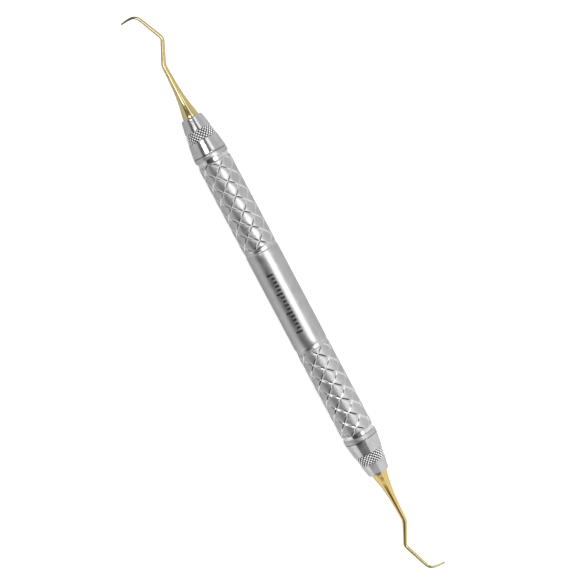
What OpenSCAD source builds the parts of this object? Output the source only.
// Double-ended dental hand scaler with a hollow handle and screw-in working ends.
// Millimetres. The handle lies along X with its middle at the origin, and +Z is up.
// End A is at +X. End B is at -X, and its tip is end A's mirrored through the origin, then
// turned a little about the handle.
// Each sub-part is drawn pointing along +Z, and on_end() turns it onto its end.

/* [Handle] */
// Length of the handle tube
handle_len = 88.5; // [84:0.1:110]
// Outside diameter of the middle band and the grips
handle_d = 9.5; // [9.3:0.1:10.5]
// Bore of the hollow tube
bore_d = 8; // [7.4:0.1:8]
// Length of the plain middle band
band_len = 28.8; // [20:0.1:40]
// Length of each turned neck beside a grip
neck_len = 1.2; // [0.8:0.1:2]
// Diameter at the bottom of a turned neck
neck_d = 8.9; // [8.8:0.05:9]
// Length of the plain ring at each end of the tube
ring_len = 1.25; // [1:0.05:2]
// Diameter of that ring
ring_d = 9.64; // [9.5:0.02:10.5]

/* [End cones] */
// Length from the end of the handle to the cone's nose
cone_len = 10.85; // [9:0.05:13]
// Diameter of the nose before its edge is rounded
nose_d = 6; // [5.6:0.1:7]
// How far the cone's side swells beyond a straight taper
cone_swell = 0.1; // [0:0.02:0.3]
// Radius on the nose's edge
nose_round = 0.45; // [0.2:0.05:0.6]

/* [Working ends] */
// Diameter of the tang pressed into the cone
tang_d = 3.2; // [2.5:0.1:3.6]
// Length of the tang
tang_len = 8.5; // [6:0.1:9]
// Diameter of the shank where it leaves the cone
base_d = 4.6; // [4:0.1:5]
// Straight run from the nose to the first bend
straight_len = 15.75; // [12:0.05:20]
// Run from the first bend to the second
middle_len = 7.2; // [5:0.1:10]
// Run from the second bend to the third, the terminal shank
terminal_len = 8.95; // [6:0.05:12]
// Length of the blade
blade_len = 4.8; // [3:0.1:7]
// First bend, away from the handle's line
bend_1 = 25.8; // [0:0.1:40]
// Second bend, back across the line
bend_2 = 48; // [20:0.5:70]
// Third bend, into the blade
bend_3 = 61.4; // [40:0.1:80]
// Bend spread along the blade itself
blade_curl = 18.6; // [0:0.1:40]
// Sideways bend of the terminal shank, opposite on the two ends
side_bend = 10.4; // [0:0.1:20]
// Further sideways bend into the blade
blade_side_bend = 5.8; // [0:0.1:15]
// How far end B stops screwing short of straight opposite end A, in degrees
end_b_turn = 16; // [-180:1:180]
// Width of the blade's face at the heel
blade_w = 0.86; // [0.6:0.02:1.2]
// Width of the blade's face just before its point
point_w = 0.3; // [0.1:0.02:0.5]

/* [Threads and seals] */
// Thread pitch of the studs
thread_pitch = 0.8; // [0.7:0.05:0.9]
// Outside diameter of the studs
stud_d = 4.92; // [4.5:0.02:5.2]
// Turns of thread on a stud
stud_turns = 8; // [6:1:9]
// Thickness of the sealing ring
seal_t = 0.2; // [0.2:0.05:0.5]

/* [Hidden] */
$fn = 72;
STEEL = "silver";
SATIN = "gainsboro";
GOLD = "goldenrod";
SEAL = "dimgray";

// Stations along an end, measured outwards from the middle of the handle.
end_z = handle_len / 2;
nose_z = end_z + cone_len;
grip_len = end_z - band_len / 2 - 2 * neck_len - ring_len;
edge = 0.12; // chamfer on turned edges

// The thread is a trapezoid ridge, and the plug's thread is the same ridge grown by a clearance.
ridge_h = 0.46;
core_r = stud_d / 2 - ridge_h;
ridge_root = 0.775 * thread_pitch;
ridge_crest = 0.15 * thread_pitch;
thread_gap = 0.08;
flank_gap = 0.068;
turn_steps = 20;

// The cone's spigot centres it in the mouth of the tube, and the plug sits below the spigot.
spigot_r = bore_d / 2 - 0.15;
spigot_len = 1;
relief_len = 0.8;
stud_tip = 0.4;
plug_drop = 1.3;
plug_len = 9.6;
plug_floor = 1.4;

// The swept part of a tip starts inside the flare and ends at the point.
sweep_start = 5.5;
flare_end = 7;
flare_reach = 5;
flare_power = 1.3;
shank_r1 = 0.7;  // radius at the first bend
shank_r2 = 0.56; // at the second
shank_r3 = 0.45; // at the third
ring_pts = 24;

function smooth(t) = let (u = min(1, max(0, t))) u * u * (3 - 2 * u);

// Straight-taper radius of the shank, s mm along it from the nose.
function shank_r(s) = lookup(s, [
    [0, shank_r1 + 0.25], [straight_len, shank_r1],
    [straight_len + middle_len, shank_r2], [straight_len + middle_len + terminal_len, shank_r3]]);

// The same with the trumpet flare that meets the cone.
function flare_r(s) = shank_r(s) + (base_d / 2 - shank_r(0)) * exp(-pow(s / flare_reach, flare_power));

// Each bend is [where its middle is, how long it is, its angle in the tip's plane, its angle out of it].
heel_s = straight_len + middle_len + terminal_len;
tip_s = heel_s + blade_len;
bends = [
    [straight_len, 1.6, bend_1, 0],
    [straight_len + middle_len, 1.5, -bend_2, -side_bend],
    [heel_s, 1.7, -bend_3, -blade_side_bend],
    [heel_s + 0.85 + blade_len * 0.4, blade_len * 0.8, -blade_curl, 0]];

function ramp(s, b) = min(1, max(0, (s - b[0]) / b[1] + 0.5));
function total(v, i = 0) = i < len(v) ? v[i] + total(v, i + 1) : 0;
function turned(s, k) = total([for (b = bends) b[k] * ramp(s, b)]);

// Heading of the shank at s. X is out of the tip's plane, and the first bend goes towards -Y.
function heading(s) = let (a = turned(s, 2), b = turned(s, 3))
    [sin(b), -sin(a) * cos(b), cos(a) * cos(b)];

// Stations bunch up in the bends and on the blade, where the shape changes.
function bend_stations(b, n) = [for (i = [0:n]) b[0] + b[1] * (i / n - 0.5)];
blade_steps = 12;
stations = concat(
    [sweep_start, 9, 12], bend_stations(bends[0], 5), bend_stations(bends[1], 6), bend_stations(bends[2], 7),
    [for (i = [1:blade_steps]) heel_s + 0.85 + (blade_len - 0.85) * i / blade_steps]);

// Centreline points, found by walking from station to station at the middle heading.
function walk(i, p) = i >= len(stations) ? [] :
    let (s0 = i == 0 ? 0 : stations[i - 1], q = p + (stations[i] - s0) * heading((s0 + stations[i]) / 2))
    concat([q], walk(i + 1, q));

// How far round section has turned into the blade's triangle, from 0 to 1.
function bladed(s) = smooth((s - heel_s + 0.6) / 2);

// Half the width of the blade's face at s, which tapers to the point.
function face_w(s) = let (t = min(1, max(0, (s - heel_s) / blade_len)))
    (blade_w - (blade_w - point_w) * pow(t, 1.6)) / 2;

// Distance from the centreline to the blade's triangle in direction a: a flat face at 0 degrees
// with its cutting edges at 60 and -60, and a back edge at 180.
function triangle_r(a, w) = let (face = w / tan(60), back = 1.55 * face,
        n = 90 + atan(w / (face + back)), d = w * back / norm([w, face + back]))
    min(cos(a) > 0.01 ? face / cos(a) : 99, cos(abs(a) - n) > 0.01 ? d / cos(abs(a) - n) : 99);

// One ring of points round the centreline. Direction 0 is the inside of the third bend.
function ring(p, s, shrink) = let (
        t = heading(s), u0 = [1, 0, 0] - t[0] * t, out = u0 / norm(u0), inner = cross(t, out),
        m = bladed(s), r = flare_r(s))
    [for (k = [0:ring_pts - 1]) let (a = k * 360 / ring_pts, a2 = a > 180 ? a - 360 : a,
        d = shrink * ((1 - m) * r + m * triangle_r(a2, face_w(s))))
        p + d * cos(a) * inner + d * sin(a) * out];

// A closed solid from rings of points, one after another.
module skin(rings) {
    n = len(rings[0]);
    last = len(rings) - 1;
    points = [for (r = rings) each r];
    sides = [for (i = [0:last - 1], k = [0:n - 1]) let (a = i * n + k, b = i * n + (k + 1) % n)
        each [[a, b, b + n], [a, b + n, a + n]]];
    caps = [[for (k = [n - 1:-1:0]) k], [for (k = [0:n - 1]) last * n + k]];
    polyhedron(points, concat(caps, sides));
}

// A helical ridge: profile is a list of [radius, height] points, and fade shrinks it at both ends.
module helix(profile, pitch, turns, steps, fade_steps = 0) {
    count = ceil(turns * steps);
    hand = sign(pitch);
    base = min([for (p = profile) p[0]]);
    rings = [for (i = [0:count]) let (a = i * 360 / steps,
            f = fade_steps > 0 ? max(0.02, min(1, i / fade_steps, (count - i) / fade_steps)) : 1)
        [for (p = profile) let (r = base + (p[0] - base) * f)
            [r * cos(a), r * sin(a) * hand, p[1] * (0.4 + 0.6 * f) + abs(pitch) * a / 360]]];
    if (hand > 0) skin(rings);
    else skin([for (r = rings) [for (k = [len(r) - 1:-1:0]) r[k]]]);
}

module on_end(side) {
    rotate([0, side * 90, 0]) children();
}

// A turned solid from [radius, z] points.
module turned_solid(points) {
    rotate_extrude() polygon(points);
}

// The hollow handle: the plain middle band, a grip each side of it between two turned necks,
// and a plain ring at each end. The grips are drawn as plain barrels.
module handle_tube() {
    r = handle_d / 2;
    neck_r = neck_d / 2;
    a = band_len / 2;
    b = a + neck_len;
    c = b + grip_len;
    d = c + neck_len;
    half = [[r, a - edge], [r - edge, a], [neck_r, a + edge], [neck_r, b - edge], [r - edge, b], [r, b + edge],
            [r, c - edge], [r - edge, c], [neck_r, c + edge], [neck_r, d - edge],
            [ring_d / 2 - edge, d], [ring_d / 2, d + edge], [ring_d / 2, end_z - edge], [ring_d / 2 - edge, end_z],
            [bore_d / 2, end_z]];
    color(SATIN) on_end(1)
        turned_solid(concat(half, [for (i = [len(half) - 1:-1:0]) [half[i][0], -half[i][1]]]));
}

// The bush fixed in each end of the tube, with a blind threaded hole that opens outwards.
// The thread is a sleeve let into a plain turned cup.
module threaded_plug(side) {
    top = end_z - plug_drop;
    bottom = top - plug_len;
    floor_z = bottom + plug_floor;
    r = bore_d / 2;
    cup_r = stud_d / 2 + 0.35;
    bore_r = core_r + 0.12;
    root_r = stud_d / 2 + thread_gap;
    gap = [[bore_r - 0.1, -ridge_root / 2 - flank_gap], [root_r, -ridge_crest / 2 - flank_gap],
           [root_r, ridge_crest / 2 + flank_gap], [bore_r - 0.1, ridge_root / 2 + flank_gap]];
    color(STEEL) on_end(side) {
        turned_solid([[0, bottom], [r - edge, bottom], [r, bottom + edge], [r, top - edge], [r - edge, top],
                      [cup_r + edge, top], [cup_r, top - edge], [cup_r, floor_z], [0, floor_z]]);
        resize([0, 0, 0]) difference() {
            translate([0, 0, floor_z - 0.5]) cylinder(r = cup_r + 0.3, h = plug_len - plug_floor, $fn = turn_steps);
            translate([0, 0, bottom]) rotate([0, 0, 180 / turn_steps])
                cylinder(r = bore_r, h = plug_len + 1, $fn = turn_steps);
            translate([0, 0, thread_z() - thread_pitch]) helix(gap, thread_pitch, stud_turns + 3, turn_steps, 6);
        }
    }
}

// Where the stud's thread starts, at its free end.
function thread_z() = end_z + seal_t - spigot_len - relief_len - stud_turns * thread_pitch;

module sealing_ring(side) {
    color(SEAL) on_end(side) translate([0, 0, end_z]) difference() {
        cylinder(d = handle_d - 0.16, h = seal_t);
        translate([0, 0, -1]) cylinder(r = spigot_r + 0.05, h = seal_t + 2);
    }
}

// Radius of the cone's side at z, from the seal to the nose: a straight taper with a slight swell.
function cone_r(z) = let (t = (z - end_z - seal_t) / (cone_len - seal_t))
    (ring_d * (1 - t) + nose_d * t) / 2 + cone_swell * sin(180 * t);

module knurled_cone(side) {
    base = end_z + seal_t;
    steps = 12;
    turn_z = nose_z - nose_round;
    side_points = [for (i = [0:steps]) let (z = base + edge + (turn_z - base - edge) * i / steps) [cone_r(z), z]];
    nose_points = [for (a = [20:20:80]) [cone_r(turn_z) - nose_round * (1 - cos(a)), turn_z + nose_round * sin(a)]];
    ridge = [[core_r - 0.1, -ridge_root / 2 - 0.05], [stud_d / 2, -ridge_crest / 2],
             [stud_d / 2, ridge_crest / 2], [core_r - 0.1, ridge_root / 2 + 0.05]];
    color(SATIN) on_end(side) {
        difference() {
            turned_solid(concat([[0, base - spigot_len], [spigot_r - edge, base - spigot_len],
                                 [spigot_r, base - spigot_len + edge], [spigot_r, base], [ring_d / 2 - edge, base]],
                                side_points, nose_points,
                                [[cone_r(turn_z) - nose_round, nose_z], [0, nose_z]]));
            translate([0, 0, nose_z - tang_len - 0.3]) cylinder(d = tang_d, h = tang_len + 1);
        }
        resize([0, 0, 0]) union() {
            translate([0, 0, thread_z() - stud_tip])
                cylinder(r1 = core_r - stud_tip, r2 = core_r, h = stud_tip, $fn = turn_steps);
            translate([0, 0, thread_z()])
                cylinder(r = core_r, h = stud_turns * thread_pitch + relief_len + 0.3, $fn = turn_steps);
            translate([0, 0, thread_z()]) helix(ridge, thread_pitch, stud_turns, turn_steps, 6);
        }
    }
}

module tip_solid() {
    flare_steps = 14;
    translate([0, 0, nose_z]) {
        turned_solid(concat([[0, -tang_len], [tang_d / 2 - 0.3, -tang_len], [tang_d / 2, -tang_len + 0.3], [tang_d / 2, 0]],
                            [for (i = [0:flare_steps]) let (s = flare_end * i / flare_steps) [flare_r(s), s]],
                            [[0, flare_end]]));
        centre = walk(0, [0, 0, 0]);
        last = len(stations) - 1;
        point = centre[last] + 0.12 * heading(stations[last]);
        skin(concat([for (i = [0:last]) ring(centre[i], stations[i], stations[i] < flare_end ? 0.97 : 0.995)],
                    [ring(point, stations[last], 0.35)]));
    }
}

module scaler_tip_a() {
    color(GOLD) on_end(1) tip_solid();
}

module scaler_tip_b() {
    color(GOLD) rotate([-end_b_turn, 0, 0])
        mirror([1, 0, 0]) mirror([0, 1, 0]) mirror([0, 0, 1]) on_end(1) tip_solid();
}

handle_tube();
threaded_plug(1);  // threaded_plug_a
threaded_plug(-1);  // threaded_plug_b
sealing_ring(1);  // sealing_ring_a
sealing_ring(-1);  // sealing_ring_b
knurled_cone(1);  // knurled_cone_a
knurled_cone(-1);  // knurled_cone_b
scaler_tip_a();
scaler_tip_b();
